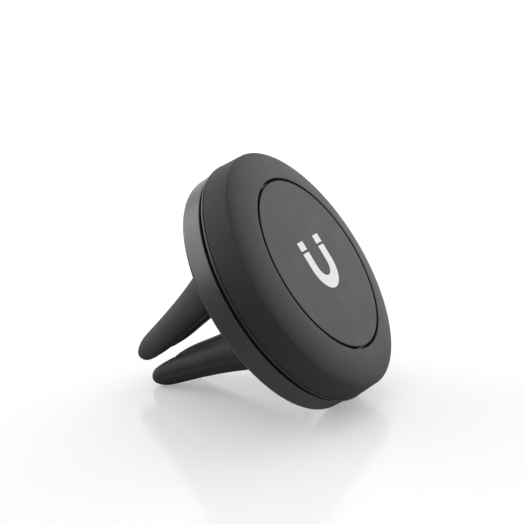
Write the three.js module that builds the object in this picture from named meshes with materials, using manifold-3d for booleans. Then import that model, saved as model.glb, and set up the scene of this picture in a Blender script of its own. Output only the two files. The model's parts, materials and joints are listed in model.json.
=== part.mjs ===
// Magnetic vent mount for a phone.
//
// A round magnet head stands on a rubber fork whose four fingers grip a car's vent blade.
// The head is a hard front shell with a rubber skin and a flush rubber disc in its face,
// closed at the back by a hard cover. Four magnets, their carrier and a steel plate are inside.
// The fork's foot is trapped in the cover by a retainer plate.
//
// Every piece is drawn in the head's own frame, in millimetres:
//   x to the right when looking at the face, y up the face, z out of the face.
// The face is the plane z = 0, so a "depth" is a distance behind it, along -z.
// The finished mount is leaned back as one group until it lies on the edge of the cover and
// the tips of its two lower fingers, with z = 0 as the surface that it lies on.

import * as THREE from 'three';
import { mergeVertices } from 'three/addons/utils/BufferGeometryUtils.js';
import Module from 'manifold-3d';

const wasm = await Module();
wasm.setup();

// ---------- driving dimensions ----------

// The gap left between pieces that touch, and the tolerance that welds shared vertices.
const GAP = 0.3;
const WELD = 1e-4;

// Facets round a full turn: the head, its rear cover, the fork's foot, small round pieces,
// screws and holes. The cover's are wide enough for the mount to lie on the lowest one.
const ROUND_LARGE = 64;
const ROUND_COVER = 32;
const ROUND_MEDIUM = 48;
const ROUND_SMALL = 32;
const ROUND_TINY = 16;
const ARC_STEPS = 4;
const CROWN_STEPS = 7;

// Head: the face, the crowned edge of the skin and its flared side.
const FACE_DISC_RADIUS = 15.3;
const FACE_DISC_THICKNESS = 1.2;
const FACE_GROOVE_WIDTH = 0.34;
const CROWN_START_RADIUS = 15.9;
const CROWN_END_RADIUS = 21.5;
const CROWN_DROP = 1.6;
const CROWN_FULLNESS = 1.55;
const SKIN_END_RADIUS = 21.95;
const SKIN_END_DEPTH = 5.55;

// Front shell: the cup under the skin, its lip that shows as a thin line, its spigot.
const SHELL_FACE_DEPTH = FACE_DISC_THICKNESS + GAP;
const SHELL_FACE_THICKNESS = 1.0;
const SHELL_RADIUS = 20.3;
const SHELL_INNER_RADIUS = 18.6;
const SHELL_CORNER = 0.5;
const LIP_RADIUS = 22.0;
const LIP_DEPTH = 5.8;
const LIP_THICKNESS = 0.42;
const SPIGOT_RADIUS = 20.0;
const SPIGOT_END_DEPTH = 8.3;

// Magnets, the carrier that spaces them and the steel plate behind them.
const MAGNET_RADIUS = 4.5;
const MAGNET_THICKNESS = 2.5;
const MAGNET_PITCH_RADIUS = 7.7;
const MAGNET_CHAMFER = 0.25;
const CARRIER_RADIUS = 13.4;
const PLATE_RADIUS = 13.0;
const PLATE_THICKNESS = 0.6;
const MAGNET_DEPTH = SHELL_FACE_DEPTH + SHELL_FACE_THICKNESS + GAP;
const PLATE_DEPTH = MAGNET_DEPTH + MAGNET_THICKNESS + GAP;

// Rear cover: a shallow cup with a hole for the neck of the fork.
const COVER_FRONT_DEPTH = 6.85;
const COVER_RADIUS = 21.65;
const COVER_INNER_RADIUS = (SPIGOT_RADIUS + GAP) / Math.cos(Math.PI / ROUND_COVER);
const COVER_FLOOR_DEPTH = 9.1;
const HEAD_DEPTH = 10.65;
const COVER_EDGE_RADIUS = 0.7;
const COVER_HOLE_RADIUS = 9.0;

// Retainer plate that traps the fork's flange, with four ears for its screws.
const RETAINER_DEPTH = PLATE_DEPTH + PLATE_THICKNESS + GAP;
const RETAINER_THICKNESS = 0.8;
const RETAINER_RADIUS = 12.4;
const EAR_HALF_WIDTH = 2.4;
const EAR_END_RADIUS = 17.9;

// Screws, on one circle: four in the cover's back, four in the retainer between them.
const SCREW_CIRCLE_RADIUS = 16.2;
const SCREW_SHANK_RADIUS = 1.0;
const SCREW_HEAD_RADIUS = 1.85;
const SCREW_HEAD_THICKNESS = 0.75;
const SCREW_RECESS_LENGTH = 2.0;
const SCREW_RECESS_WIDTH = 0.45;
const SCREW_RECESS_DEPTH = 0.4;
const SCREW_HOLE_RADIUS = SCREW_SHANK_RADIUS + GAP;
const COUNTERBORE_RADIUS = SCREW_HEAD_RADIUS + GAP;
const POST_RADIUS = 2.2;
const BOSS_RADIUS = 2.1;
const COVER_SCREW_LENGTH = 4.6;
const COVER_SCREW_DEPTH = 9.75;
const COUNTERBORE_DEPTH = COVER_SCREW_DEPTH - GAP;
const COUNTERBORE_PAD = 0.5;
const RETAINER_SCREW_LENGTH = 3.2;
const RETAINER_SCREW_DEPTH = RETAINER_DEPTH - GAP;

// Rubber fork: flange inside the cover, neck through its hole, round foot on its back.
const FLANGE_DEPTH = RETAINER_DEPTH + RETAINER_THICKNESS + GAP;
const FLANGE_RADIUS = 12.0;
const FLANGE_END_DEPTH = COVER_FLOOR_DEPTH - GAP;
const NECK_RADIUS = COVER_HOLE_RADIUS - GAP;
const FOOT_DEPTH = HEAD_DEPTH + GAP;
const FOOT_END_DEPTH = 14.0;
const FOOT_RADIUS = 12.8;
const FOOT_EDGE_RADIUS = 0.9;

// Fingers: two outlines, one seen from the side and one from above, and a round envelope
// that trims their outer corners. The throat is the narrowest place of each slot.
// The level slot runs a little below the head's axis.
const SLOT_DROP = 0.3;
const FINGER_ROOT_DEPTH = FOOT_END_DEPTH + GAP;
const SHOULDER_DEPTH = 32.5;
const CORNER_DEPTH = 35.4;
const THROAT_DEPTH = 32.3;
const NOSE_DEPTH = 35.9;
const FINGER_CURVE_STEPS = 5;
const SIDE_OUTLINE = {
  outerRoot: 10.98,
  outerMiddle: 7.53,
  shoulder: 5.73,
  corner: 5.03,
  noseCentre: 2.8,
  noseRadius: 1.5,
  throat: 0.85,
  innerMiddle: 1.95,
  innerRoot: 3.5,
};
const TOP_OUTLINE = {
  outerRoot: 10.9,
  outerMiddle: 7.6,
  shoulder: 5.8,
  corner: 5.6,
  noseCentre: 3.9,
  noseRadius: 1.4,
  throat: 1.9,
  innerMiddle: 2.4,
  innerRoot: 3.2,
};
const ENVELOPE_ROOT_RADIUS = 12.4;
const ENVELOPE_TIP_RADIUS = 6.0;
const ENVELOPE_TIP_DEPTH = NOSE_DEPTH + SIDE_OUTLINE.noseRadius;

// Each finger bends about a line across its own diagonal. Its root is round about that line.
const BEND_RADIUS = 3.9;
const BEND_DISTANCE = 7.9;
const BEND_DEPTH = FINGER_ROOT_DEPTH + BEND_RADIUS;

// Anything longer than the mount, for cutting and keeping whole regions of it.
const BEYOND = 60;

const QUARTER_TURN = Math.PI / 2;
const EIGHTH_TURN = Math.PI / 4;

// ---------- materials ----------

const softRubber = new THREE.MeshStandardMaterial({ color: 0x232325, roughness: 0.72, metalness: 0 });
const discRubber = new THREE.MeshStandardMaterial({ color: 0x262628, roughness: 0.68, metalness: 0 });
const shellPlastic = new THREE.MeshStandardMaterial({ color: 0x2c2c2e, roughness: 0.4, metalness: 0 });
const coverPlastic = new THREE.MeshStandardMaterial({ color: 0x38383a, roughness: 0.35, metalness: 0 });
const innerPlastic = new THREE.MeshStandardMaterial({ color: 0x1d1d1f, roughness: 0.5, metalness: 0 });
const forkRubber = new THREE.MeshStandardMaterial({ color: 0x1c1c1e, roughness: 0.6, metalness: 0 });
const magnetNickel = new THREE.MeshStandardMaterial({ color: 0xc4c6c8, roughness: 0.22, metalness: 1 });
const plateSteel = new THREE.MeshStandardMaterial({ color: 0xa8abae, roughness: 0.38, metalness: 1 });
const screwSteel = new THREE.MeshStandardMaterial({ color: 0x8f9296, roughness: 0.32, metalness: 1 });

// ---------- joining and cutting ----------

// A closed three.js geometry as a solid that can be joined and cut.
function toSolid(geometry) {
  const bare = geometry.clone();
  bare.deleteAttribute('normal');
  bare.deleteAttribute('uv');
  const welded = mergeVertices(bare, WELD);
  return new wasm.Manifold(new wasm.Mesh({
    numProp: 3,
    vertProperties: new Float32Array(welded.attributes.position.array),
    triVerts: new Uint32Array(welded.index.array),
  }));
}

// A solid back as a three.js geometry.
function toGeometry(solid) {
  const { vertProperties, triVerts } = solid.getMesh();
  const geometry = new THREE.BufferGeometry();
  geometry.setAttribute('position', new THREE.BufferAttribute(vertProperties, 3));
  geometry.setIndex(new THREE.BufferAttribute(triVerts, 1));
  geometry.computeVertexNormals();
  return geometry;
}

function joinAll(solids) {
  return solids.reduce((whole, next) => whole.add(next));
}

// ---------- basic shapes ----------

// A point of a turned outline: its distance from the head's axis and its depth.
function at(radius, depth) {
  return new THREE.Vector2(radius, -depth);
}

// Points along a quarter of a circle that rounds a corner, from the start to the end angle.
function roundCorner(radius, depth, cornerRadius, startAngle, endAngle) {
  const points = [];
  for (let step = 0; step <= ARC_STEPS; step += 1) {
    const angle = THREE.MathUtils.lerp(startAngle, endAngle, step / ARC_STEPS);
    points.push(at(radius + cornerRadius * Math.cos(angle), depth - cornerRadius * Math.sin(angle)));
  }
  return points;
}

// A solid turned about the head's axis, with the middle of one facet straight underneath.
// The outline runs from the back of the piece to its front.
function turned(outline, segments) {
  const geometry = new THREE.LatheGeometry(outline, segments, Math.PI / segments);
  geometry.rotateX(QUARTER_TURN);
  return toSolid(geometry);
}

// A round bar along the head's axis between two depths, moved sideways to x, y.
function bar(radius, frontDepth, backDepth, segments, x = 0, y = 0) {
  const geometry = new THREE.CylinderGeometry(radius, radius, backDepth - frontDepth, segments);
  geometry.rotateX(QUARTER_TURN);
  geometry.translate(x, y, -(frontDepth + backDepth) / 2);
  return toSolid(geometry);
}

// A block given by its size and its centre.
function block(width, height, thickness, x, y, z) {
  const geometry = new THREE.BoxGeometry(width, height, thickness);
  geometry.translate(x, y, z);
  return toSolid(geometry);
}

// Four places a quarter turn apart on a circle, starting at the given angle.
function fourAround(radius, startAngle) {
  return [0, 1, 2, 3].map((turn) => {
    const angle = startAngle + turn * QUARTER_TURN;
    return { x: radius * Math.cos(angle), y: radius * Math.sin(angle), angle };
  });
}

// ---------- the head ----------

function makeFaceDisc() {
  return turned([
    at(0, FACE_DISC_THICKNESS),
    at(FACE_DISC_RADIUS, FACE_DISC_THICKNESS),
    at(FACE_DISC_RADIUS, 0),
    at(0, 0),
  ], ROUND_LARGE);
}

// The crown falls away from the flat face along a rounded curve to the side of the skin.
function crownPoints() {
  const points = [];
  const run = CROWN_END_RADIUS - CROWN_START_RADIUS;
  for (let step = 0; step <= CROWN_STEPS; step += 1) {
    const angle = QUARTER_TURN * (1 - step / CROWN_STEPS);
    const across = Math.sin(angle) ** (2 / CROWN_FULLNESS);
    const fall = 1 - Math.cos(angle) ** (2 / CROWN_FULLNESS);
    points.push(at(CROWN_START_RADIUS + run * across, CROWN_DROP * fall));
  }
  return points;
}

function makeFrontSkin() {
  const innerRadius = SHELL_RADIUS + GAP;
  const apertureRadius = FACE_DISC_RADIUS + FACE_GROOVE_WIDTH;
  const undersideDepth = SHELL_FACE_DEPTH - GAP;
  const outline = [
    at(innerRadius, SKIN_END_DEPTH),
    at(SKIN_END_RADIUS, SKIN_END_DEPTH),
    ...crownPoints(),
    at(apertureRadius, 0),
    at(apertureRadius, undersideDepth),
    at(innerRadius - SHELL_CORNER, undersideDepth),
    at(innerRadius, undersideDepth + SHELL_CORNER),
    at(innerRadius, SKIN_END_DEPTH),
  ];
  return turned(outline, ROUND_LARGE);
}

function makeFrontShell() {
  const innerFaceDepth = SHELL_FACE_DEPTH + SHELL_FACE_THICKNESS;
  const lipEndDepth = LIP_DEPTH + LIP_THICKNESS;
  const cup = turned([
    at(0, innerFaceDepth),
    at(SHELL_INNER_RADIUS, innerFaceDepth),
    at(SHELL_INNER_RADIUS, SPIGOT_END_DEPTH),
    at(SPIGOT_RADIUS, SPIGOT_END_DEPTH),
    at(SPIGOT_RADIUS, lipEndDepth),
    at(LIP_RADIUS, lipEndDepth),
    at(LIP_RADIUS, LIP_DEPTH),
    at(SHELL_RADIUS, LIP_DEPTH),
    at(SHELL_RADIUS, SHELL_FACE_DEPTH + SHELL_CORNER),
    at(SHELL_RADIUS - SHELL_CORNER, SHELL_FACE_DEPTH),
    at(0, SHELL_FACE_DEPTH),
  ], ROUND_LARGE);
  const postEndDepth = COVER_FLOOR_DEPTH - COUNTERBORE_PAD - GAP;
  const holeEndDepth = COVER_SCREW_DEPTH - COVER_SCREW_LENGTH - GAP;
  const posts = fourAround(SCREW_CIRCLE_RADIUS, EIGHTH_TURN).map(({ x, y }) => {
    const post = bar(POST_RADIUS, innerFaceDepth - GAP, postEndDepth, ROUND_TINY, x, y);
    return post.subtract(bar(SCREW_HOLE_RADIUS, holeEndDepth, BEYOND, ROUND_TINY, x, y));
  });
  return joinAll([cup, ...posts]);
}

function makeRearCover() {
  const edge = roundCorner(COVER_RADIUS - COVER_EDGE_RADIUS, HEAD_DEPTH - COVER_EDGE_RADIUS,
    COVER_EDGE_RADIUS, -QUARTER_TURN, 0);
  const cup = turned([
    at(COVER_HOLE_RADIUS, HEAD_DEPTH),
    ...edge,
    at(COVER_RADIUS, COVER_FRONT_DEPTH),
    at(COVER_INNER_RADIUS, COVER_FRONT_DEPTH),
    at(COVER_INNER_RADIUS, COVER_FLOOR_DEPTH),
    at(COVER_HOLE_RADIUS, COVER_FLOOR_DEPTH),
    at(COVER_HOLE_RADIUS, HEAD_DEPTH),
  ], ROUND_COVER);
  const bossHoleEnd = RETAINER_SCREW_DEPTH + RETAINER_SCREW_LENGTH + GAP;
  const bosses = [];
  const holes = [];
  for (const { x, y } of fourAround(SCREW_CIRCLE_RADIUS, 0)) {
    bosses.push(bar(BOSS_RADIUS, FLANGE_DEPTH, COVER_FLOOR_DEPTH + GAP, ROUND_TINY, x, y));
    holes.push(bar(SCREW_HOLE_RADIUS, 0, bossHoleEnd, ROUND_TINY, x, y));
  }
  for (const { x, y } of fourAround(SCREW_CIRCLE_RADIUS, EIGHTH_TURN)) {
    bosses.push(bar(COUNTERBORE_RADIUS + COUNTERBORE_PAD, COVER_FLOOR_DEPTH - COUNTERBORE_PAD,
      COVER_FLOOR_DEPTH + GAP, ROUND_TINY, x, y));
    holes.push(bar(SCREW_HOLE_RADIUS, 0, BEYOND, ROUND_TINY, x, y));
    holes.push(bar(COUNTERBORE_RADIUS, COUNTERBORE_DEPTH, BEYOND, ROUND_TINY, x, y));
  }
  return joinAll([cup, ...bosses]).subtract(joinAll(holes));
}

// ---------- inside the head ----------

function makeMagnet() {
  const front = 0;
  const back = MAGNET_THICKNESS;
  return turned([
    at(0, back),
    at(MAGNET_RADIUS - MAGNET_CHAMFER, back),
    at(MAGNET_RADIUS, back - MAGNET_CHAMFER),
    at(MAGNET_RADIUS, front + MAGNET_CHAMFER),
    at(MAGNET_RADIUS - MAGNET_CHAMFER, front),
    at(0, front),
  ], ROUND_SMALL);
}

function makeMagnetCarrier() {
  const backDepth = MAGNET_DEPTH + MAGNET_THICKNESS;
  const disc = bar(CARRIER_RADIUS, MAGNET_DEPTH, backDepth, ROUND_SMALL);
  const pockets = fourAround(MAGNET_PITCH_RADIUS, EIGHTH_TURN).map(({ x, y }) => (
    bar(MAGNET_RADIUS + GAP, 0, BEYOND, ROUND_SMALL, x, y)
  ));
  return disc.subtract(joinAll(pockets));
}

function makeBackingPlate() {
  return bar(PLATE_RADIUS, PLATE_DEPTH, PLATE_DEPTH + PLATE_THICKNESS, ROUND_SMALL);
}

function makeRetainer() {
  const backDepth = RETAINER_DEPTH + RETAINER_THICKNESS;
  const middle = -(RETAINER_DEPTH + backDepth) / 2;
  const disc = bar(RETAINER_RADIUS, RETAINER_DEPTH, backDepth, ROUND_SMALL);
  const armSpan = 2 * SCREW_CIRCLE_RADIUS;
  const arms = [
    block(armSpan, 2 * EAR_HALF_WIDTH, RETAINER_THICKNESS, 0, 0, middle),
    block(2 * EAR_HALF_WIDTH, armSpan, RETAINER_THICKNESS, 0, 0, middle),
  ];
  const earRadius = EAR_END_RADIUS - SCREW_CIRCLE_RADIUS;
  const places = fourAround(SCREW_CIRCLE_RADIUS, 0);
  const ends = places.map(({ x, y }) => (
    bar(earRadius, RETAINER_DEPTH, backDepth, ROUND_TINY, x, y)
  ));
  const holes = places.map(({ x, y }) => bar(SCREW_HOLE_RADIUS, 0, BEYOND, ROUND_TINY, x, y));
  return joinAll([disc, ...arms, ...ends]).subtract(joinAll(holes));
}

// ---------- screws ----------

// A pan-head screw standing on z = 0: the head's top is at +z, the shank runs down -z.
function makeScrew(length) {
  const tipRadius = SCREW_SHANK_RADIUS / 2;
  const headEdge = SCREW_HEAD_RADIUS - SCREW_HEAD_THICKNESS / 3;
  const screw = turned([
    at(0, length),
    at(tipRadius, length),
    at(SCREW_SHANK_RADIUS, length - SCREW_SHANK_RADIUS),
    at(SCREW_SHANK_RADIUS, 0),
    at(SCREW_HEAD_RADIUS, 0),
    at(SCREW_HEAD_RADIUS, -SCREW_HEAD_THICKNESS / 2),
    at(headEdge, -SCREW_HEAD_THICKNESS),
    at(0, -SCREW_HEAD_THICKNESS),
  ], ROUND_TINY);
  const recessCentre = SCREW_HEAD_THICKNESS;
  const recessHeight = 2 * SCREW_RECESS_DEPTH;
  const recess = block(SCREW_RECESS_LENGTH, SCREW_RECESS_WIDTH, recessHeight, 0, 0, recessCentre)
    .add(block(SCREW_RECESS_WIDTH, SCREW_RECESS_LENGTH, recessHeight, 0, 0, recessCentre));
  return screw.subtract(recess);
}

// ---------- the rubber fork ----------

function makeClipBase() {
  const backEdge = roundCorner(FOOT_RADIUS - FOOT_EDGE_RADIUS, FOOT_END_DEPTH - FOOT_EDGE_RADIUS,
    FOOT_EDGE_RADIUS, -QUARTER_TURN, 0);
  return turned([
    at(0, FOOT_END_DEPTH),
    ...backEdge,
    at(FOOT_RADIUS, FOOT_DEPTH),
    at(NECK_RADIUS, FOOT_DEPTH),
    at(NECK_RADIUS, FLANGE_END_DEPTH),
    at(FLANGE_RADIUS, FLANGE_END_DEPTH),
    at(FLANGE_RADIUS, FLANGE_DEPTH),
    at(0, FLANGE_DEPTH),
  ], ROUND_MEDIUM);
}

// One outline of a finger: across is its distance from the slot's middle plane, down is -depth.
// It runs out along the outer flank, round the nose and back along the inner flank.
function fingerShape(outline) {
  const shape = new THREE.Shape();
  const middleOuter = -(FINGER_ROOT_DEPTH + SHOULDER_DEPTH) / 2;
  const middleInner = -(FINGER_ROOT_DEPTH + THROAT_DEPTH) / 2;
  const startAcross = outline.noseCentre + outline.noseRadius * Math.SQRT1_2;
  const startDown = -NOSE_DEPTH - outline.noseRadius * Math.SQRT1_2;
  shape.moveTo(outline.outerRoot, -FINGER_ROOT_DEPTH);
  shape.quadraticCurveTo(outline.outerMiddle, middleOuter, outline.shoulder, -SHOULDER_DEPTH);
  shape.quadraticCurveTo(outline.corner, -CORNER_DEPTH, startAcross, startDown);
  shape.absarc(outline.noseCentre, -NOSE_DEPTH, outline.noseRadius, -EIGHTH_TURN, -Math.PI, true);
  shape.quadraticCurveTo(outline.throat, -(THROAT_DEPTH + NOSE_DEPTH) / 2,
    outline.throat, -THROAT_DEPTH);
  shape.quadraticCurveTo(outline.innerMiddle, middleInner, outline.innerRoot, -FINGER_ROOT_DEPTH);
  shape.closePath();
  return shape;
}

function extrudedFinger(outline) {
  return new THREE.ExtrudeGeometry(fingerShape(outline), {
    depth: BEYOND,
    bevelEnabled: false,
    curveSegments: FINGER_CURVE_STEPS,
  });
}

// The finger at +x, +y.
function makeFinger() {
  const fromSide = extrudedFinger(SIDE_OUTLINE);
  fromSide.applyMatrix4(new THREE.Matrix4().makeBasis(
    new THREE.Vector3(0, 1, 0),
    new THREE.Vector3(0, 0, 1),
    new THREE.Vector3(1, 0, 0),
  ));
  const fromAbove = extrudedFinger(TOP_OUTLINE);
  fromAbove.rotateX(QUARTER_TURN);
  fromAbove.translate(0, BEYOND, 0);
  const envelope = turned([
    at(0, ENVELOPE_TIP_DEPTH + GAP),
    at(ENVELOPE_TIP_RADIUS, ENVELOPE_TIP_DEPTH + GAP),
    at(ENVELOPE_ROOT_RADIUS, FINGER_ROOT_DEPTH - GAP),
    at(0, FINGER_ROOT_DEPTH - GAP),
  ], ROUND_SMALL);
  return toSolid(fromSide).intersect(toSolid(fromAbove)).intersect(envelope).intersect(rootKeeper());
}

// Everything beyond the bend line, and a round bar about it: what is left of a finger's root.
function rootKeeper() {
  const roller = new THREE.CylinderGeometry(BEND_RADIUS, BEND_RADIUS, BEYOND, ROUND_SMALL);
  roller.rotateZ(EIGHTH_TURN);
  const offset = BEND_DISTANCE * Math.SQRT1_2;
  roller.translate(offset, offset, -BEND_DEPTH);
  const beyond = block(BEYOND, BEYOND, BEYOND, 0, 0, -BEND_DEPTH - BEYOND / 2);
  return toSolid(roller).add(beyond);
}

// The same geometry seen in a mirror across the plane x = 0.
function mirrored(geometry) {
  const flipped = geometry.clone().scale(-1, 1, 1);
  const corners = flipped.index.array;
  for (let first = 0; first < corners.length; first += 3) {
    [corners[first], corners[first + 1]] = [corners[first + 1], corners[first]];
  }
  flipped.computeVertexNormals();
  return flipped;
}

// ---------- assembly ----------

const head = new THREE.Group();

function addPiece(name, geometry, material) {
  const piece = new THREE.Mesh(geometry, material);
  piece.name = name;
  head.add(piece);
  return piece;
}

addPiece('front_rubber_skin', toGeometry(makeFrontSkin()), softRubber);
addPiece('face_disc', toGeometry(makeFaceDisc()), discRubber);
addPiece('front_shell', toGeometry(makeFrontShell()), shellPlastic);
addPiece('magnet_carrier', toGeometry(makeMagnetCarrier()), innerPlastic);
addPiece('steel_backing_plate', toGeometry(makeBackingPlate()), plateSteel);
addPiece('clip_retainer_plate', toGeometry(makeRetainer()), innerPlastic);
const rearCover = addPiece('rear_cover', toGeometry(makeRearCover()), coverPlastic);
addPiece('clip_base', toGeometry(makeClipBase()), forkRubber);

// Left and right are as seen when looking at the face.
const DIAGONALS = ['upper_right', 'upper_left', 'lower_left', 'lower_right'];
const SIDES = ['right', 'top', 'left', 'bottom'];

const magnet = toGeometry(makeMagnet());
fourAround(MAGNET_PITCH_RADIUS, EIGHTH_TURN).forEach(({ x, y }, turn) => {
  const piece = addPiece(`magnet_${DIAGONALS[turn]}`, magnet, magnetNickel);
  piece.position.set(x, y, -MAGNET_DEPTH);
});

const coverScrew = toGeometry(makeScrew(COVER_SCREW_LENGTH));
fourAround(SCREW_CIRCLE_RADIUS, EIGHTH_TURN).forEach(({ x, y, angle }, turn) => {
  const piece = addPiece(`cover_screw_${DIAGONALS[turn]}`, coverScrew, screwSteel);
  piece.position.set(x, y, -COVER_SCREW_DEPTH);
  piece.rotation.set(Math.PI, 0, angle);
});

const retainerScrew = toGeometry(makeScrew(RETAINER_SCREW_LENGTH));
fourAround(SCREW_CIRCLE_RADIUS, 0).forEach(({ x, y, angle }, turn) => {
  const piece = addPiece(`retainer_screw_${SIDES[turn]}`, retainerScrew, screwSteel);
  piece.position.set(x, y, -RETAINER_SCREW_DEPTH);
  piece.rotation.set(0, 0, angle);
});

// Turning a finger half round the axis gives the one across from it.
const finger = toGeometry(makeFinger());
const otherFinger = mirrored(finger);
const fingers = DIAGONALS.map((diagonal, turn) => {
  const piece = addPiece(`prong_${diagonal}`, turn % 2 ? otherFinger : finger, forkRubber);
  piece.position.y = -SLOT_DROP;
  piece.rotation.z = turn < 2 ? 0 : Math.PI;
  return piece;
});

// ---------- leaning back ----------

// How low a piece reaches when the head is leaned back by an angle about x.
function lowestPoint(piece, angle) {
  piece.updateMatrix();
  const positions = piece.geometry.attributes.position;
  const point = new THREE.Vector3();
  let lowest = Infinity;
  for (let index = 0; index < positions.count; index += 1) {
    point.fromBufferAttribute(positions, index).applyMatrix4(piece.matrix);
    lowest = Math.min(lowest, point.y * Math.sin(angle) + point.z * Math.cos(angle));
  }
  return lowest;
}

// The lean at which the cover's edge and the lower fingers' tips reach equally low,
// found by halving the range between standing on the edge and lying on the tips.
function restingLean() {
  const halvings = 40;
  const lowerFinger = fingers[DIAGONALS.indexOf('lower_left')];
  let onTips = EIGHTH_TURN;
  let onEdge = QUARTER_TURN;
  for (let step = 0; step < halvings; step += 1) {
    const middle = (onTips + onEdge) / 2;
    if (lowestPoint(lowerFinger, middle) < lowestPoint(rearCover, middle)) {
      onTips = middle;
    } else {
      onEdge = middle;
    }
  }
  return onEdge;
}

head.rotation.x = restingLean();

// The origin is under the middle of the leaned mount, on the surface that it lies on.
const mount = new THREE.Group();
mount.add(head);
const bounds = new THREE.Box3().setFromObject(mount, true);
const middle = bounds.getCenter(new THREE.Vector3());
mount.position.set(-middle.x, -middle.y, -bounds.min.z);

export default mount;
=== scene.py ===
"""The looks of a magnetic vent mount for a phone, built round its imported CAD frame.

Outlines and sizes are in millimetres in the head's own frame: x to the right when looking at the
face, y up the face, and depth behind the face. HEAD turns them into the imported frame, in metres.
"""

import json
import math

import bmesh
import bpy
from mathutils import Matrix, Vector

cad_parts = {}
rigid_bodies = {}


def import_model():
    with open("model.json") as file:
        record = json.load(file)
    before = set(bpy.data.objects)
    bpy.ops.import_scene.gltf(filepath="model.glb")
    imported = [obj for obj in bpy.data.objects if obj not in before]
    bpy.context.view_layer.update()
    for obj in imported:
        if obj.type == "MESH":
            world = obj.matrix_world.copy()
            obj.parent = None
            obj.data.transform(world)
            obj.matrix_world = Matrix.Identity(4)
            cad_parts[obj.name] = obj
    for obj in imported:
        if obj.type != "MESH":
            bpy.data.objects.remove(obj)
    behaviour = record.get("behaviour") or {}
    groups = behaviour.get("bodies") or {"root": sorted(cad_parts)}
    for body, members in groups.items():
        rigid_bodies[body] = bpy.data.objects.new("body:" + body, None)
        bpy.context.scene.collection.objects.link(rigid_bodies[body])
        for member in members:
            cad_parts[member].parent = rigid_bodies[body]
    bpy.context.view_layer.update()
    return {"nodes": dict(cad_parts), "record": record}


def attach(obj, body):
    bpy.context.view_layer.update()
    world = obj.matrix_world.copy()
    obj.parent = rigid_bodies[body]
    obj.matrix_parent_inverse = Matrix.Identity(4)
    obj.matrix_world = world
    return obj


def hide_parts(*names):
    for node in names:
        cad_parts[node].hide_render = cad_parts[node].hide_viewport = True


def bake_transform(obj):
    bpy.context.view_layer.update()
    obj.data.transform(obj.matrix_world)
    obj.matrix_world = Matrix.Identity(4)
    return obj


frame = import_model()

# ---------- sizes, in millimetres ----------

# A millimetre, in metres.
MM = 0.001

# Facets round the head, a screw and a post.
LARGE_ROUND = 192
SMALL_ROUND = 64
TINY_ROUND = 32

# The head, from its face backwards. DISC_INNER_RING is a ring of vertices that divides the
# disc's flat face, and SKIN_GAP keeps the skin off the shell.
DISC_RADIUS = 15.25
DISC_THICKNESS = 1.2
DISC_INNER_RING = 7.625
GROOVE_WIDTH = 0.52
CROWN_START = 15.9
CROWN_END = 21.5
CROWN_DROP = 1.6
CROWN_FULLNESS = 1.55
CROWN_STEPS = 28
SKIN_RADIUS = 21.95
SKIN_END = 5.72
SKIN_GAP = 0.05
SHELL_FACE = 1.5
SHELL_INNER_FACE = 2.5
SHELL_RADIUS = 20.3
SHELL_INNER_RADIUS = 18.6
LIP_RADIUS = 22.0
LIP_START = 5.78
LIP_END = 6.16
STEP_RADIUS = 21.25
STEP_END = 6.7
SPIGOT_RADIUS = 20.0
SPIGOT_END = 8.3
COVER_START = 6.9
COVER_RADIUS = 21.65
COVER_INNER_RADIUS = 20.3
COVER_FLOOR = 9.1
COVER_HOLE = 9.0
HEAD_DEPTH = 10.65

# Corner radii of the head's pieces.
SKIN_MOUTH_EDGE = 0.06
SKIN_HEM_EDGE = 0.12
DISC_EDGE = 0.1
CUP_EDGE = 0.4
CUP_INNER_EDGE = 0.3
LIP_FRONT_EDGE = 0.08
LIP_BACK_EDGE = 0.14
STEP_ROOT_EDGE = 0.1
STEP_EDGE = 0.05
SPIGOT_ROOT_EDGE = 0.1
SPIGOT_EDGE = 0.2
COVER_EDGE = 0.7
COVER_RIM_EDGE = 0.12
COVER_RIM_INNER_EDGE = 0.1
COVER_HOLE_EDGE = 0.2
COVER_HOLE_INNER_EDGE = 0.1

# Screws, their posts, bosses and holes. POST_SOLID is how deep a post is solid at its root,
# POST_GAP is what it stops short of the cover's pad by, and BOSS_HOLE_FLOOR is what a boss's
# blind hole leaves of the head's depth.
SCREW_CIRCLE = 16.2
SCREW_SHANK = 1.0
SCREW_POINT = 0.4
SCREW_HEAD = 1.85
SCREW_HEAD_HEIGHT = 0.75
SCREW_UNDERSIDE = 9.75
SCREW_LENGTH = 4.6
SCREW_POINT_EDGE = 0.1
SCREW_SHANK_EDGE = 0.2
SCREW_HEAD_EDGE = 0.08
SCREW_CROWN_EDGE = 0.35
SCREW_HOLE = 1.3
COUNTERBORE = 2.15
COUNTERBORE_FLOOR = 9.45
COUNTERBORE_CHAMFER = 0.12
POST_RADIUS = 2.2
POST_SOLID = 2.0
POST_GAP = 0.1
BOSS_RADIUS = 2.1
BOSS_START = 7.3
BOSS_HOLE_FLOOR = 0.95
PAD_RADIUS = 2.65
PAD_START = 8.6

# The length and width of a screw's recess, at its mouth and at its floor.
RECESS_MOUTH = (2.2, 0.5)
RECESS_FLOOR = (1.1, 0.3)
RECESS_DEPTH = 0.45

# How far a post or pad runs into the wall it grows from, and a cutter past what it cuts.
JOIN_OVERLAP = 0.2
HOLE_OVERRUN = 1.0
RECESS_OVERRUN = 0.2
CHAMFER_OVERRUN = 0.1

# The fork's foot.
FLANGE_START = 7.3
FLANGE_END = 8.8
FLANGE_RADIUS = 12.0
FLANGE_EDGE = 0.2
NECK_RADIUS = 8.7
NECK_EDGE = 0.15
FOOT_START = 10.66
FOOT_END = 14.0
FOOT_RADIUS = 12.8
FOOT_FRONT_EDGE = 0.25
FOOT_BACK_EDGE = 0.9

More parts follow.
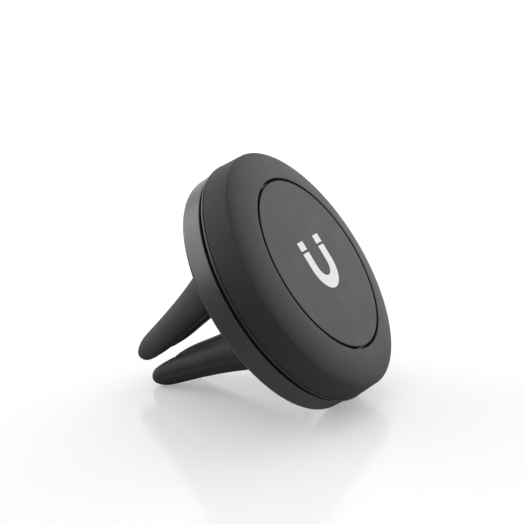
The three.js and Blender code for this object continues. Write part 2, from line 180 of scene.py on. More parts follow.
# The fork's fingers. Each line along a finger is given as (depth, distance from the middle of
# the slot): SIDE lines from the level slot, which runs a little below the head's axis, and TOP
# lines from the upright slot.
FINGER_TIP = 37.3
SLOT_DROP = 0.3
OUTER_SIDE = [
    (13.0, 11.5), (19.6, 9.2), (23.9, 7.85), (28.7, 6.58), (32.5, 5.68), (35.0, 5.03), (37.3, 4.1),
]
INNER_SIDE = [
    (13.0, 3.4), (21.3, 2.35), (28.4, 1.4), (31.5, 0.95), (34.0, 0.78), (35.6, 0.9), (37.3, 1.4),
]
OUTER_TOP = [(13.0, 11.4), (20.0, 9.1), (28.0, 7.4), (32.5, 6.6), (35.0, 6.2), (37.3, 5.8)]
INNER_TOP = [(13.0, 3.3), (22.0, 2.5), (28.0, 2.05), (32.3, 1.9), (35.4, 2.2), (37.3, 2.5)]
NOSE_LENGTH = 1.9
NOSE_FULLNESS = 2.6
ROOT_FILLET = 1.3
ROOT_SUNK = 0.8
SECTION_STEPS = 70
SECTION_CROWDING = 1.35

# A finger's cross-section. BACK_LOW and BACK_HIGH are the angles, in degrees, at which its round
# back starts and ends. SIDE_FILLET is a share of the section's narrower side. The other fillets
# are in millimetres, and shrink where the section is narrower than FULL_FILLET_WIDTH.
BACK_LOW = 34
BACK_HIGH = 76
BACK_STEPS = 22
BACK_FULLNESS = 2.2
INNER_FILLET = 0.8
SIDE_FILLET = 0.3
EDGE_FILLET = 0.55
FULL_FILLET_WIDTH = 4.0

# The mark printed on the face: a horseshoe magnet with a short block above each pole.
MARK_LIFT = 0.03
MARK_SUNK = 0.05
MARK_CENTRE_Y = 0.3
MARK_OUTER = 4.5
MARK_INNER = 2.2
MARK_ELBOW = -0.6
MARK_POLE_TOP = 2.1
MARK_BLOCK_LOW = 2.55
MARK_BLOCK_HIGH = 4.1
MARK_STEPS = 28

# ---------- the head's frame ----------


def record_mount(name):
    return next(m for m in frame["record"]["mounts"] if m["name"] == name)


FACE = Vector(record_mount("phone_face")["pos_m"])
OUT = Vector(record_mount("phone_face")["axis"]).normalized()
RIGHT = Vector((1.0, 0.0, 0.0))
UP = OUT.cross(RIGHT)
HEAD_AXES = Matrix((RIGHT, UP, OUT)).transposed().to_4x4()
HEAD = Matrix.Translation(FACE) @ HEAD_AXES @ Matrix.Scale(MM, 4)


# ---------- camera ----------

# The angle that the mount is seen from, the lens, and where the face sits in the view. Lengths
# are in millimetres.
VIEW_AZIMUTH = math.radians(-66.17)
VIEW_ELEVATION = math.radians(13.09)
VIEW_ROLL = math.radians(-1.2)
VIEW_LENS = 68.7
VIEW_NEAREST = 10.0
FACE_RIGHT_OF_VIEW = 9.59
FACE_ABOVE_VIEW = 0.08
FACE_AHEAD = 163.0


def add_camera():
    back = Vector((
        math.sin(VIEW_AZIMUTH) * math.cos(VIEW_ELEVATION),
        -math.cos(VIEW_AZIMUTH) * math.cos(VIEW_ELEVATION),
        math.sin(VIEW_ELEVATION),
    ))
    right = Vector((0, 0, 1)).cross(back).normalized()
    right = Matrix.Rotation(VIEW_ROLL, 3, back) @ right
    up = back.cross(right)
    spot = FACE + (back * FACE_AHEAD - right * FACE_RIGHT_OF_VIEW - up * FACE_ABOVE_VIEW) * MM
    data = bpy.data.cameras.new("camera")
    data.lens = VIEW_LENS
    data.clip_start = VIEW_NEAREST * MM
    camera = bpy.data.objects.new("camera", data)
    axes = Matrix((right, up, back)).transposed().to_4x4()
    camera.matrix_world = Matrix.Translation(spot) @ axes
    bpy.context.scene.collection.objects.link(camera)
    bpy.context.scene.camera = camera


add_camera()

# ---------- shader nodes ----------

# The mesh attribute that says how worn an edge is, and how the wear is broken up.
EDGE_WEAR = "edge_wear"
WEAR_SCALE = 900.0
WEAR_LEAST = 0.35

# Nearly all of a noise's values lie in this range.
NOISE_LOW = 0.35
NOISE_HIGH = 0.65

# A colour mix node's sockets share their names, so they are told apart by number.
MIX_FACTOR = 0
MIX_FIRST = 6
MIX_SECOND = 7
MIX_RESULT = 2


class Shader:
    """A material being put together: its nodes, its principled shader and its coordinates."""

    def __init__(self, name):
        self.material = bpy.data.materials.new(name)
        self.material.use_nodes = True
        self.nodes = self.material.node_tree.nodes
        self.links = self.material.node_tree.links
        self.bsdf = self.nodes["Principled BSDF"]
        self.coordinates = self.nodes.new("ShaderNodeTexCoord").outputs["Object"]

    def link(self, output, node, socket):
        self.links.new(output, node.inputs[socket])

    def noise(self, scale, detail=4.0, roughness=0.55):
        """Noise with about scale features to the metre."""
        node = self.nodes.new("ShaderNodeTexNoise")
        node.inputs["Scale"].default_value = scale
        node.inputs["Detail"].default_value = detail
        node.inputs["Roughness"].default_value = roughness
        self.link(self.coordinates, node, "Vector")
        return node.outputs["Fac"]

    def spread(self, value, low, high, start=NOISE_LOW, end=NOISE_HIGH):
        """A value that runs from start to end, stretched to run from low to high."""
        node = self.nodes.new("ShaderNodeMapRange")
        node.inputs["From Min"].default_value = start
        node.inputs["From Max"].default_value = end
        node.inputs["To Min"].default_value = low
        node.inputs["To Max"].default_value = high
        self.link(value, node, "Value")
        return node.outputs["Result"]

    def mix(self, factor, first, second):
        """A colour between two, each a colour or another node's output."""
        node = self.nodes.new("ShaderNodeMix")
        node.data_type = "RGBA"
        self.link(factor, node, MIX_FACTOR)
        for socket, colour in ((MIX_FIRST, first), (MIX_SECOND, second)):
            if isinstance(colour, tuple):
                node.inputs[socket].default_value = (*colour, 1.0)
            else:
                self.link(colour, node, socket)
        return node.outputs[MIX_RESULT]

    def edges(self):
        """1 along convex edges, 0 elsewhere, broken up so that the wear isn't even."""
        attribute = self.nodes.new("ShaderNodeAttribute")
        attribute.attribute_name = EDGE_WEAR
        patchy = self.nodes.new("ShaderNodeMath")
        patchy.operation = "MULTIPLY"
        self.link(attribute.outputs["Fac"], patchy, 0)
        self.link(self.spread(self.noise(WEAR_SCALE), WEAR_LEAST, 1.0), patchy, 1)
        return patchy.outputs["Value"]

    def body_colour(self, clouds, dark, light, worn):
        """A base colour that is cloudy between two shades and paler along worn edges."""
        body = self.mix(clouds, dark, light)
        self.link(self.mix(self.edges(), body, worn), self.bsdf, "Base Color")

    def uneven_roughness(self, marks, roughness, stray):
        """A roughness that strays below and above its own by the two amounts in stray."""
        below, above = stray
        uneven = self.spread(marks, roughness - below, roughness + above)
        self.link(uneven, self.bsdf, "Roughness")

    def bump(self, heights, strength, distance):
        """Adds a bump to the shader. Distance is in metres."""
        node = self.nodes.new("ShaderNodeBump")
        node.inputs["Strength"].default_value = strength
        node.inputs["Distance"].default_value = distance
        self.link(heights, node, "Height")
        before = self.bsdf.inputs["Normal"].links
        if before:
            self.link(before[0].from_socket, node, "Normal")
        self.link(node.outputs["Normal"], self.bsdf, "Normal")


def grey(value, warmth=0.0):
    return (value * (1 + warmth), value, value * (1 - warmth))


# ---------- looks ----------

# Shares of a look's own shade: its darker clouds, its paler clouds and its worn edges.
CLOUD_DARK = 0.98
CLOUD_LIGHT = 1.03
RUBBER_WORN = 1.5
PLASTIC_WORN = 1.7
METAL_DARK = 0.82
PAINT_DARK = 0.94
RUBBER_WARMTH = 0.01

# Features to the metre.
RUBBER_CLOUDS = 160.0
RUBBER_MARKS = 260.0
RUBBER_DIMPLES = 420.0
PLASTIC_CLOUDS = 70.0
PLASTIC_MARKS = 180.0
PLASTIC_GRAIN = 5200.0
METAL_CLOUDS = 300.0
METAL_SCRATCHES = (400.0, 9000.0, 9000.0)
PAINT_CLOUDS = 2500.0
PAINT_GRAIN = 3500.0

# How far a look's roughness strays below and above its own.
RUBBER_STRAY = (0.015, 0.02)
PLASTIC_STRAY = (0.02, 0.03)
METAL_STRAY = (0.06, 0.1)
PAINT_ROUGHNESS = 0.45

# The strength and height, in metres, of each bump, or its height alone.
RUBBER_GRAIN_BUMP = (0.55, 0.00003)
RUBBER_DIMPLE_BUMP = (0.10, 0.00004)
PLASTIC_GRAIN_HEIGHT = 0.00002
METAL_SCRATCH_HEIGHT = 0.00001
PAINT_GRAIN_BUMP = (0.1, 0.00001)


def rubber(name, shade, roughness, shine, grain):
    """Moulded rubber: fine matte grain, faint handling marks and slightly paler edges."""
    shader = Shader(name)
    clouds = shader.spread(shader.noise(RUBBER_CLOUDS), 0.0, 1.0)
    shader.body_colour(clouds, grey(shade * CLOUD_DARK), grey(shade * CLOUD_LIGHT, RUBBER_WARMTH),
                       grey(shade * RUBBER_WORN))
    shader.uneven_roughness(shader.noise(RUBBER_MARKS, detail=6.0), roughness, RUBBER_STRAY)
    shader.bsdf.inputs["Specular IOR Level"].default_value = shine
    shader.bump(shader.noise(grain, detail=3.0), *RUBBER_GRAIN_BUMP)
    shader.bump(shader.noise(RUBBER_DIMPLES, detail=2.0), *RUBBER_DIMPLE_BUMP)
    return shader.material


def plastic(name, shade, roughness, shine, grain_strength):
    """Injection-moulded plastic: a satin skin with a fine spark-eroded grain."""
    shader = Shader(name)
    clouds = shader.spread(shader.noise(PLASTIC_CLOUDS), 0.0, 1.0)
    shader.body_colour(clouds, grey(shade * CLOUD_DARK), grey(shade * CLOUD_LIGHT),
                       grey(shade * PLASTIC_WORN))
    shader.uneven_roughness(shader.noise(PLASTIC_MARKS, detail=5.0), roughness, PLASTIC_STRAY)
    shader.bsdf.inputs["Specular IOR Level"].default_value = shine
    shader.bump(shader.noise(PLASTIC_GRAIN, detail=2.0), grain_strength, PLASTIC_GRAIN_HEIGHT)
    return shader.material


def metal(name, colour, roughness, brushing):
    """Plated or rolled steel with fine scratches along one direction."""
    shader = Shader(name)
    clouds = shader.spread(shader.noise(METAL_CLOUDS), 0.0, 1.0)
    darker = tuple(channel * METAL_DARK for channel in colour)
    shader.link(shader.mix(clouds, darker, colour), shader.bsdf, "Base Color")
    shader.bsdf.inputs["Metallic"].default_value = 1.0
    stretch = shader.nodes.new("ShaderNodeMapping")
    stretch.inputs["Scale"].default_value = METAL_SCRATCHES
    shader.link(shader.coordinates, stretch, "Vector")
    noise = shader.nodes.new("ShaderNodeTexNoise")
    noise.inputs["Scale"].default_value = 1.0
    shader.link(stretch.outputs["Vector"], noise, "Vector")
    scratches = noise.outputs["Fac"]
    shader.uneven_roughness(scratches, roughness, METAL_STRAY)
    shader.bump(scratches, brushing, METAL_SCRATCH_HEIGHT)
    return shader.material


def paint(name, shade):
    """Pad-printed ink: pale, a little uneven."""
    shader = Shader(name)
    clouds = shader.spread(shader.noise(PAINT_CLOUDS, detail=5.0), 0.0, 1.0)
    colour = shader.mix(clouds, grey(shade * PAINT_DARK), grey(shade))
    shader.link(colour, shader.bsdf, "Base Color")
    shader.bsdf.inputs["Roughness"].default_value = PAINT_ROUGHNESS
    shader.bump(shader.noise(PAINT_GRAIN, detail=2.0), *PAINT_GRAIN_BUMP)
    return shader.material


SKIN = rubber("soft_skin", shade=0.023, roughness=0.58, shine=0.44, grain=4200.0)
DISC = rubber("soft_disc", shade=0.0215, roughness=0.54, shine=0.38, grain=5200.0)
FORK = rubber("fork_rubber_look", shade=0.046, roughness=0.62, shine=0.30, grain=3000.0)
SHELL = plastic("shell_satin", shade=0.016, roughness=0.30, shine=0.62, grain_strength=0.12)
COVER = plastic("cover_satin", shade=0.030, roughness=0.32, shine=0.90, grain_strength=0.10)
INNER = plastic("inner_moulding", shade=0.020, roughness=0.50, shine=0.50, grain_strength=0.20)
NICKEL = metal("nickel_plate", colour=(0.72, 0.70, 0.66), roughness=0.20, brushing=0.05)
PLATE = metal("rolled_plate", colour=(0.50, 0.51, 0.52), roughness=0.36, brushing=0.25)
ZINC = metal("zinc_plate", colour=(0.46, 0.47, 0.49), roughness=0.30, brushing=0.12)
PRINT = paint("white_print", shade=0.86)

# ---------- mesh tools ----------

# The bend between two faces that counts as fully worn, and those from which an edge is shaded
# as sharp.
WORN_BEND = math.radians(16)
SHARP_BEND = math.radians(32)
FINGER_SHARP_BEND = math.radians(60)

# Points closer than this are welded, and a radius smaller than this is on the axis.
WELD_DISTANCE = 1e-4
ON_AXIS = 1e-6

# The steps in a rounded corner, and how far beyond it the extra points lie.
CORNER_STEPS = 6
CORNER_GUARD = 0.06


def mark_edges(bm):
    """Stores how strongly each vertex sits on a convex edge, for the paler worn edges."""
    wear = bm.verts.layers.float.new(EDGE_WEAR)
    for vertex in bm.verts:
        bends = [edge.calc_face_angle_signed(0.0) for edge in vertex.link_edges]
        vertex[wear] = min(1.0, max(0.0, max(bends) / WORN_BEND))


def finish_mesh(name, mesh, material, body, nodes=(), sharp=SHARP_BEND):
    """A mesh drawn in the head's frame becomes a smooth piece that rides on a body."""
    bm = bmesh.new()
    bm.from_mesh(mesh)
    bmesh.ops.remove_doubles(bm, verts=bm.verts, dist=WELD_DISTANCE)
    bmesh.ops.recalc_face_normals(bm, faces=bm.faces)
    mark_edges(bm)
    bm.to_mesh(mesh)
    bm.free()
    mesh.transform(HEAD)
    mesh.shade_smooth()
    mesh.set_sharp_from_angle(angle=sharp)
    mesh.materials.clear()
    mesh.materials.append(material)
    piece = bpy.data.objects.new(name, mesh)
    bpy.context.scene.collection.objects.link(piece)
    if body:
        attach(piece, body)
    if nodes:
        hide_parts(*nodes)
    return piece


def rounded(corners):
    """An outline of (radius, depth, corner radius) with each corner rounded.

    A point just before and just after each rounding keeps its shading and its wear off the
    long flat faces next to it.
    """
    points = []
    for index, (radius, depth, fillet) in enumerate(corners):
        corner = Vector((radius, depth))
        if not fillet:
            points.append(corner)
            continue
        before = (Vector(corners[index - 1][:2]) - corner).normalized()
        after = (Vector(corners[(index + 1) % len(corners)][:2]) - corner).normalized()
        half = before.angle(after) / 2
        centre = corner + (before + after).normalized() * (fillet / math.sin(half))
        reach = fillet / math.tan(half)
        start = corner + before * reach - centre
        end = corner + after * reach - centre
        sweep = math.atan2(start.cross(end), start.dot(end))
        points.append(corner + before * (reach + CORNER_GUARD))
        for step in range(CORNER_STEPS + 1):
            points.append(centre + Matrix.Rotation(sweep * step / CORNER_STEPS, 2) @ start)
        points.append(corner + after * (reach + CORNER_GUARD))
    return points


def turned_mesh(outline, segments=LARGE_ROUND, x=0.0, y=0.0):
    """A closed mesh turned about a line parallel to the head's axis, through x, y."""
    vertices = []
    rings = []
    for radius, depth in outline:
        if radius < ON_AXIS:
            rings.append([len(vertices)] * segments)
            vertices.append((x, y, -depth))
            continue
        rings.append(list(range(len(vertices), len(vertices) + segments)))
        for turn in range(segments):
            angle = 2 * math.pi * turn / segments
            vertices.append((x + radius * math.cos(angle), y + radius * math.sin(angle), -depth))
    faces = []
    for first, second in zip(rings, rings[1:] + rings[:1]):
        for turn in range(segments):
            after = (turn + 1) % segments
            corners = [first[turn], first[after], second[after], second[turn]]
            face = list(dict.fromkeys(corners))
            if len(face) > 2:
                faces.append(face)
    mesh = bpy.data.meshes.new("turned")
    mesh.from_pydata(vertices, [], faces)
    return mesh


def bar_mesh(radius, start, end, x, y):
    return turned_mesh([(0, start), (radius, start), (radius, end), (0, end)], TINY_ROUND, x, y)


def combined(mesh, operation, others):
    """A mesh joined with, or cut by, each of the others."""
    scene_objects = bpy.context.scene.collection.objects
    base = bpy.data.objects.new("base", mesh)
    scene_objects.link(base)
    tools = []
    for other in [mesh, *others]:
        bm = bmesh.new()
        bm.from_mesh(other)
        bmesh.ops.recalc_face_normals(bm, faces=bm.faces)
        bm.to_mesh(other)
        bm.free()
    for other in others:
        tool = bpy.data.objects.new("tool", other)
        scene_objects.link(tool)
        tools.append(tool)
        modifier = base.modifiers.new("boolean", "BOOLEAN")
        modifier.operation = operation
        modifier.solver = "EXACT"
        modifier.object = tool
    bpy.context.view_layer.update()
    evaluated = base.evaluated_get(bpy.context.evaluated_depsgraph_get())
    result = bpy.data.meshes.new_from_object(evaluated)
    for extra in [base, *tools]:
        bpy.data.objects.remove(extra)
    return result


def four_around(radius, start):
    """Four places a quarter turn apart, with their angles."""
    for turn in range(4):
        angle = start + turn * math.pi / 2
        yield radius * math.cos(angle), radius * math.sin(angle), angle


DIAGONALS = ("upper_right", "upper_left", "lower_left", "lower_right")
EIGHTH = math.pi / 4

# ---------- the head ----------


def crown():
    """The skin's edge falls away from the flat face along a rounded curve."""
    for step in range(CROWN_STEPS + 1):
        angle = math.pi / 2 * step / CROWN_STEPS
        across = math.sin(angle) ** (2 / CROWN_FULLNESS)
        fall = 1 - math.cos(angle) ** (2 / CROWN_FULLNESS)
        yield CROWN_START + (CROWN_END - CROWN_START) * across, CROWN_DROP * fall, 0


def add_skin():
    aperture = DISC_RADIUS + GROOVE_WIDTH
    inner = SHELL_RADIUS + SKIN_GAP
    underside = SHELL_FACE - SKIN_GAP
    outline = rounded([
        (aperture, 0, SKIN_MOUTH_EDGE),
        *crown(),
        (SKIN_RADIUS, SKIN_END, SKIN_HEM_EDGE),
        (inner, SKIN_END, 0),
        (inner, underside, CUP_EDGE),
        (aperture, underside, 0),
    ])
    finish_mesh("soft_touch_skin", turned_mesh(outline), SKIN, "head",
                ["front_rubber_skin"])


def add_disc():
    outline = rounded([
        (0, 0, 0),
        (DISC_INNER_RING, 0, 0),
        (DISC_RADIUS, 0, DISC_EDGE),
        (DISC_RADIUS, DISC_THICKNESS, DISC_EDGE),
        (0, DISC_THICKNESS, 0),
    ])
    finish_mesh("face_pad", turned_mesh(outline), DISC, "head", ["face_disc"])


def add_shell():
    cup = turned_mesh(rounded([
        (0, SHELL_FACE, 0),
        (SHELL_RADIUS, SHELL_FACE, CUP_EDGE),
        (SHELL_RADIUS, LIP_START, 0),
        (LIP_RADIUS, LIP_START, LIP_FRONT_EDGE),
        (LIP_RADIUS, LIP_END, LIP_BACK_EDGE),
        (STEP_RADIUS, LIP_END, STEP_ROOT_EDGE),
        (STEP_RADIUS, STEP_END, STEP_EDGE),
        (SPIGOT_RADIUS, STEP_END, SPIGOT_ROOT_EDGE),
        (SPIGOT_RADIUS, SPIGOT_END, SPIGOT_EDGE),
        (SHELL_INNER_RADIUS, SPIGOT_END, SPIGOT_EDGE),
        (SHELL_INNER_RADIUS, SHELL_INNER_FACE, CUP_INNER_EDGE),
        (0, SHELL_INNER_FACE, 0),
    ]))
    post = (POST_RADIUS, SHELL_INNER_FACE - JOIN_OVERLAP, PAD_START - POST_GAP)
    hole = (SCREW_HOLE, SHELL_INNER_FACE + POST_SOLID, PAD_START + HOLE_OVERRUN)
    places = list(four_around(SCREW_CIRCLE, EIGHTH))
    posts = [bar_mesh(*post, x, y) for x, y, _ in places]
    holes = [bar_mesh(*hole, x, y) for x, y, _ in places]
    body = combined(combined(cup, "UNION", posts), "DIFFERENCE", holes)
    finish_mesh("front_shell_fine", body, SHELL, "head", ["front_shell"])


def counterbore(x, y):
    """The cutter for a screw's hole through the cover, with a chamfered well for its head."""
    past = HEAD_DEPTH + CHAMFER_OVERRUN
    return turned_mesh([
        (0, PAD_START - HOLE_OVERRUN),
        (SCREW_HOLE, PAD_START - HOLE_OVERRUN),
        (SCREW_HOLE, COUNTERBORE_FLOOR),
        (COUNTERBORE, COUNTERBORE_FLOOR),
        (COUNTERBORE, HEAD_DEPTH - COUNTERBORE_CHAMFER),
        (COUNTERBORE + COUNTERBORE_CHAMFER + CHAMFER_OVERRUN, past),
        (0, past),
    ], SMALL_ROUND, x, y)


def add_cover():
    cup = turned_mesh(rounded([
        (COVER_HOLE, HEAD_DEPTH, COVER_HOLE_EDGE),
        (COVER_RADIUS, HEAD_DEPTH, COVER_EDGE),
        (COVER_RADIUS, COVER_START, COVER_RIM_EDGE),
        (COVER_INNER_RADIUS, COVER_START, COVER_RIM_INNER_EDGE),
        (COVER_INNER_RADIUS, COVER_FLOOR, CUP_INNER_EDGE),
        (COVER_HOLE, COVER_FLOOR, COVER_HOLE_INNER_EDGE),
    ]))
    outward = list(four_around(SCREW_CIRCLE, EIGHTH))
    inward = list(four_around(SCREW_CIRCLE, 0))
    sunk = COVER_FLOOR + JOIN_OVERLAP
    blind = (SCREW_HOLE, BOSS_START - HOLE_OVERRUN, HEAD_DEPTH - BOSS_HOLE_FLOOR)
    pads = [bar_mesh(PAD_RADIUS, PAD_START, sunk, x, y) for x, y, _ in outward]
    bosses = [bar_mesh(BOSS_RADIUS, BOSS_START, sunk, x, y) for x, y, _ in inward]
    wells = [counterbore(x, y) for x, y, _ in outward]
    holes = [bar_mesh(*blind, x, y) for x, y, _ in inward]
    body = combined(combined(cup, "UNION", pads + bosses), "DIFFERENCE", wells + holes)
    finish_mesh("rear_cover_fine", body, COVER, "head", ["rear_cover"])


def add_cover_screws():
    top = SCREW_UNDERSIDE + SCREW_HEAD_HEIGHT
    tip = SCREW_UNDERSIDE - SCREW_LENGTH
    outline = rounded([
        (0, tip, 0),
        (SCREW_POINT, tip, SCREW_POINT_EDGE),
        (SCREW_SHANK, tip + SCREW_SHANK, SCREW_SHANK_EDGE),
        (SCREW_SHANK, SCREW_UNDERSIDE, 0),
        (SCREW_HEAD, SCREW_UNDERSIDE, SCREW_HEAD_EDGE),
        (SCREW_HEAD, top, SCREW_CROWN_EDGE),
        (0, top, 0),
    ])
    for name, (x, y, angle) in zip(DIAGONALS, four_around(SCREW_CIRCLE, EIGHTH)):
        screw = cross_cut(turned_mesh(outline, SMALL_ROUND, x, y), x, y, top, angle)
        finish_mesh(f"pan_screw_{name}", screw, ZINC, "head",
                    [f"cover_screw_{name}"])


def cross_cut(screw, x, y, top, angle):
    """A cross recess that narrows towards its floor, cut in the top of a screw's head."""
    arms = []
    for turn in (0, math.pi / 2):
        bm = bmesh.new()
        bmesh.ops.create_cube(bm, size=1.0)
        for vertex in bm.verts:
            deep = vertex.co.z > 0
            length, width = RECESS_FLOOR if deep else RECESS_MOUTH
            vertex.co.x *= length
            vertex.co.y *= width
            vertex.co.z = -top + (RECESS_DEPTH if deep else -RECESS_OVERRUN)
        bmesh.ops.rotate(bm, verts=bm.verts, matrix=Matrix.Rotation(angle + turn, 3, "Z"))
        bmesh.ops.translate(bm, verts=bm.verts, vec=(x, y, 0))
        arm = bpy.data.meshes.new("arm")
        bm.to_mesh(arm)
        bm.free()
        arms.append(arm)
    return combined(screw, "DIFFERENCE", arms)


# ---------- the fork ----------


def add_foot():
    outline = rounded([
        (0, FLANGE_START, 0),
        (FLANGE_RADIUS, FLANGE_START, FLANGE_EDGE),
        (FLANGE_RADIUS, FLANGE_END, FLANGE_EDGE),
        (NECK_RADIUS, FLANGE_END, NECK_EDGE),
        (NECK_RADIUS, FOOT_START, 0),
        (FOOT_RADIUS, FOOT_START, FOOT_FRONT_EDGE),
        (FOOT_RADIUS, FOOT_END, FOOT_BACK_EDGE),
        (0, FOOT_END, 0),
    ])
    finish_mesh("fork_foot", turned_mesh(outline), FORK, "head", ["clip_base"])


def curve(points, depth):
    """A smooth line through (depth, value) points, as Catmull-Rom pieces."""
    first, last = points[0], points[-1]
    if depth <= first[0]:
        return first[1]
    for index in range(len(points) - 1):
        (d1, v1), (d2, v2) = points[index], points[index + 1]
        if depth <= d2:
            d0, v0 = points[index - 1] if index else (2 * d1 - d2, 2 * v1 - v2)
            beyond = index + 2
            d3, v3 = points[beyond] if beyond < len(points) else (2 * d2 - d1, 2 * v2 - v1)
            span = d2 - d1
            slope1 = (v2 - v0) / (d2 - d0) * span
            slope2 = (v3 - v1) / (d3 - d1) * span
            t = (depth - d1) / span
            return (v1 * (2 * t ** 3 - 3 * t ** 2 + 1) + slope1 * (t ** 3 - 2 * t ** 2 + t)
                    + v2 * (3 * t ** 2 - 2 * t ** 3) + slope2 * (t ** 3 - t ** 2))
    return last[1]


def finger_section(depth):
    """The closed outline of a finger at a depth, for the finger at +x, +y.

    Two flat faces look into the slots and meet near the axis; a full round back joins them.
    """
    inner_x, outer_x = curve(INNER_TOP, depth), curve(OUTER_TOP, depth)
    inner_y, outer_y = curve(INNER_SIDE, depth), curve(OUTER_SIDE, depth)
    wide, high = outer_x - inner_x, outer_y - inner_y
    small = min(1.0, min(wide, high) / FULL_FILLET_WIDTH)
    corners = [
        (inner_x, inner_y, INNER_FILLET * small),
        (outer_x, inner_y, SIDE_FILLET * min(wide, high)),
    ]
    for step in range(BACK_STEPS + 1):
        angle = math.radians(BACK_LOW + (BACK_HIGH - BACK_LOW) * step / BACK_STEPS)
        corners.append((inner_x + wide * math.cos(angle) ** (2 / BACK_FULLNESS),
                        inner_y + high * math.sin(angle) ** (2 / BACK_FULLNESS), 0))
    corners.append((inner_x, outer_y, EDGE_FILLET * small))
    nose = max(0.0, (depth - (FINGER_TIP - NOSE_LENGTH)) / NOSE_LENGTH)
    shrink = math.sqrt(max(0.0, 1.0 - nose ** NOSE_FULLNESS))
    rise = max(0.0, ROOT_FILLET - max(0.0, depth - FOOT_END))
    flare = ROOT_FILLET - math.sqrt(ROOT_FILLET ** 2 - rise ** 2)
    middle = Vector(((inner_x + outer_x) / 2, (inner_y + outer_y) / 2))
    points = []
    for point in rounded(corners):
        arm = point - middle
        points.append(middle + arm * shrink + arm.normalized() * flare)
    return points


def finger_mesh(side_x, side_y):
    """A finger lofted through its sections, from inside the foot to its rounded nose."""
    start = FOOT_END - ROOT_SUNK
    vertices = []
    for step in range(SECTION_STEPS + 1):
        even = step / SECTION_STEPS
        depth = start + (FINGER_TIP - start) * (1 - (1 - even) ** SECTION_CROWDING)
        section = finger_section(depth)
        vertices += [(side_x * x, side_y * y - SLOT_DROP, -depth) for x, y in section]
    count = len(section)
    faces = [list(range(count))]
    for step in range(SECTION_STEPS):
        low = step * count
        for index in range(count):
            after = (index + 1) % count
            faces.append([low + index, low + after, low + count + after, low + count + index])
    mesh = bpy.data.meshes.new("finger")
    mesh.from_pydata(vertices, [], faces)
    return mesh


def add_fingers():
    for name, side_x, side_y in (("upper_right", 1, 1), ("upper_left", -1, 1),
                                 ("lower_left", -1, -1), ("lower_right", 1, -1)):
        piece = finish_mesh(f"rubber_finger_{name}", finger_mesh(side_x, side_y), FORK, None,
                            [f"prong_{name}"], FINGER_SHARP_BEND)
        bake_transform(piece)


add_skin()
add_disc()
add_shell()
add_cover()
add_cover_screws()
add_foot()
add_fingers()

# ---------- the mark printed on the face ----------


def slab(name, outline):
    """A thin printed shape: an outline in x, y drawn on the face, as a closed slab."""
    vertices = [(x, y + MARK_CENTRE_Y, MARK_LIFT) for x, y in outline]
    vertices += [(x, y + MARK_CENTRE_Y, -MARK_SUNK) for x, y in outline]
    count = len(outline)
    faces = [list(range(count)), list(range(2 * count - 1, count - 1, -1))]
    for index in range(count):
        after = (index + 1) % count
        faces.append([index, index + count, after + count, after])
    mesh = bpy.data.meshes.new(name)
    mesh.from_pydata(vertices, [], faces)
    finish_mesh(name, mesh, PRINT, "head")


def elbow(radius, start, end):
    """The horseshoe's bend, as an arc between two angles in degrees."""
    for step in range(MARK_STEPS + 1):
        angle = math.radians(start + (end - start) * step / MARK_STEPS)
        yield radius * math.cos(angle), MARK_ELBOW + radius * math.sin(angle)


def add_mark():
    slab("mark_horseshoe", [
        *elbow(MARK_OUTER, 180, 360),
        (MARK_OUTER, MARK_POLE_TOP),
        (MARK_INNER, MARK_POLE_TOP),
        *elbow(MARK_INNER, 360, 180),
        (-MARK_INNER, MARK_POLE_TOP),
        (-MARK_OUTER, MARK_POLE_TOP),
    ])
    for side, name in ((-1, "left"), (1, "right")):
        slab(f"mark_pole_{name}", [
            (side * MARK_INNER, MARK_BLOCK_LOW), (side * MARK_OUTER, MARK_BLOCK_LOW),
            (side * MARK_OUTER, MARK_BLOCK_HIGH), (side * MARK_INNER, MARK_BLOCK_HIGH),
        ][::side])


add_mark()

# ---------- pieces kept from the CAD ----------

# The look of each node, by how its name starts. The first match counts.
KEPT = {
    "magnet_carrier": INNER,
    "clip_retainer_plate": INNER,
    "steel_backing_plate": PLATE,
    "magnet_": NICKEL,
    "retainer_screw_": ZINC,
}


def dress_kept_nodes():
    for name, node in frame["nodes"].items():
        look = next((look for start, look in KEPT.items() if name.startswith(start)), None)
        if look:
            for slot in node.material_slots:
                slot.material = look


dress_kept_nodes()

# ---------- floor and light, in metres and watts ----------

FLOOR_RADIUS = 4.0
FLOOR_SIDE_DEGREES = 6
FLOOR_COLOUR = (0.94, 0.92, 0.925, 1.0)
FLOOR_ROUGHNESS = 0.16

# The floor's own glow is painted light that lifts its shadows. It grows with the distance from the
# mount, which paints shade on the floor near it, and is mixed in by a share.
GLOW_SHARE = 0.18
GLOW_NEAR = 1.8
GLOW_FAR = 2.3
GLOW_START = 0.06
GLOW_END = 0.5

# What the floor throws back up grows along a direction, from one side of the mount to the other.
BOUNCE_DIRECTION = (0.7, -0.7, 0.0)
BOUNCE_LEAST = 0.3
BOUNCE_MOST = 0.9
BOUNCE_REACH = 0.04

# How bright the room is to the left and the right of the mount, and where the camera sees it.
ROOM_COLOUR = (1.0, 1.0, 1.0, 1.0)
ROOM_LEFT = 0.4
ROOM_RIGHT = 1.1
ROOM_SEEN = 1.05

# The point that the lights face.
LIGHTS_AIM = (0.0, 0.0, 0.02)


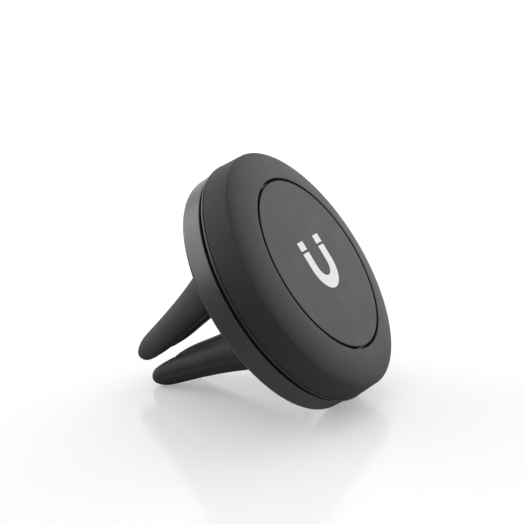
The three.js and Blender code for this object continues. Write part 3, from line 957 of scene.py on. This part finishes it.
def floor_material():
    """Glossy white acrylic with a painted glow, weaker near the mount as painted shade. It throws
    little of its light back up.
    """
    shader = Shader("floor_gloss")
    shader.bsdf.inputs["Base Color"].default_value = FLOOR_COLOUR
    shader.bsdf.inputs["Roughness"].default_value = FLOOR_ROUGHNESS
    distance = shader.nodes.new("ShaderNodeVectorMath")
    distance.operation = "LENGTH"
    shader.link(shader.coordinates, distance, 0)
    # The painted glow: weaker near the mount, as painted shade round it, and stronger further out.
    strength = shader.spread(distance.outputs["Value"], GLOW_NEAR, GLOW_FAR, GLOW_START, GLOW_END)
    glow = shader.nodes.new("ShaderNodeEmission")
    shader.link(strength, glow, "Strength")
    lit = shader.nodes.new("ShaderNodeMixShader")
    lit.inputs[0].default_value = GLOW_SHARE
    shader.link(shader.bsdf.outputs[0], lit, 1)
    shader.link(glow.outputs[0], lit, 2)
    along = shader.nodes.new("ShaderNodeVectorMath")
    along.operation = "DOT_PRODUCT"
    along.inputs[1].default_value = BOUNCE_DIRECTION
    shader.link(shader.coordinates, along, 0)
    shade = shader.spread(along.outputs["Value"], BOUNCE_LEAST, BOUNCE_MOST,
                          -BOUNCE_REACH, BOUNCE_REACH)
    dull = shader.nodes.new("ShaderNodeBsdfDiffuse")
    shader.link(shade, dull, "Color")
    seen = shader.nodes.new("ShaderNodeMixShader")
    path = shader.nodes.new("ShaderNodeLightPath")
    shader.link(path.outputs["Is Camera Ray"], seen, 0)
    shader.link(dull.outputs[0], seen, 1)
    shader.link(lit.outputs[0], seen, 2)
    shader.link(seen.outputs[0], shader.nodes["Material Output"], "Surface")
    return shader.material


def add_floor():
    mesh = bpy.data.meshes.new("floor")
    turns = [math.radians(degrees) for degrees in range(0, 360, FLOOR_SIDE_DEGREES)]
    rim = [(FLOOR_RADIUS * math.cos(turn), FLOOR_RADIUS * math.sin(turn), 0) for turn in turns]
    mesh.from_pydata(rim, [], [list(range(len(rim)))])
    floor = bpy.data.objects.new("floor", mesh)
    bpy.context.scene.collection.objects.link(floor)
    mesh.materials.append(floor_material())


def add_softbox(name, spot, width, height, power):
    """A rectangular area light that faces the mount."""
    data = bpy.data.lights.new(name, "AREA")
    data.shape = "RECTANGLE"
    data.size = width
    data.size_y = height
    data.energy = power
    light = bpy.data.objects.new(name, data)
    light.location = spot
    towards = Vector(LIGHTS_AIM) - Vector(spot)
    light.rotation_euler = towards.to_track_quat("-Z", "Y").to_euler()
    bpy.context.scene.collection.objects.link(light)


def map_range(nodes, low, high):
    node = nodes.new("ShaderNodeMapRange")
    node.inputs["To Min"].default_value = low
    node.inputs["To Max"].default_value = high
    return node


def add_world():
    """A white room, dimmer on the left of the mount and bright where the camera sees it."""
    world = bpy.data.worlds.new("studio")
    world.use_nodes = True
    nodes, links = world.node_tree.nodes, world.node_tree.links
    direction = nodes.new("ShaderNodeSeparateXYZ")
    links.new(nodes.new("ShaderNodeTexCoord").outputs["Generated"], direction.inputs[0])
    across = map_range(nodes, ROOM_LEFT, ROOM_RIGHT)
    across.inputs["From Min"].default_value = -1.0
    links.new(direction.outputs["X"], across.inputs["Value"])
    seen = map_range(nodes, 0.0, ROOM_SEEN)
    links.new(nodes.new("ShaderNodeLightPath").outputs["Is Camera Ray"], seen.inputs["Value"])
    links.new(across.outputs["Result"], seen.inputs["To Min"])
    background = nodes["Background"]
    links.new(seen.outputs["Result"], background.inputs["Strength"])
    background.inputs["Color"].default_value = ROOM_COLOUR
    bpy.context.scene.world = world


add_floor()
add_softbox("right_light", spot=(0.52, -0.25, 0.22), width=0.5, height=0.5, power=0.85)
add_softbox("back_light", spot=(-0.12, 0.55, 0.25), width=0.75, height=0.36, power=1.3)
add_world()
bpy.context.scene.view_settings.view_transform = "Standard"
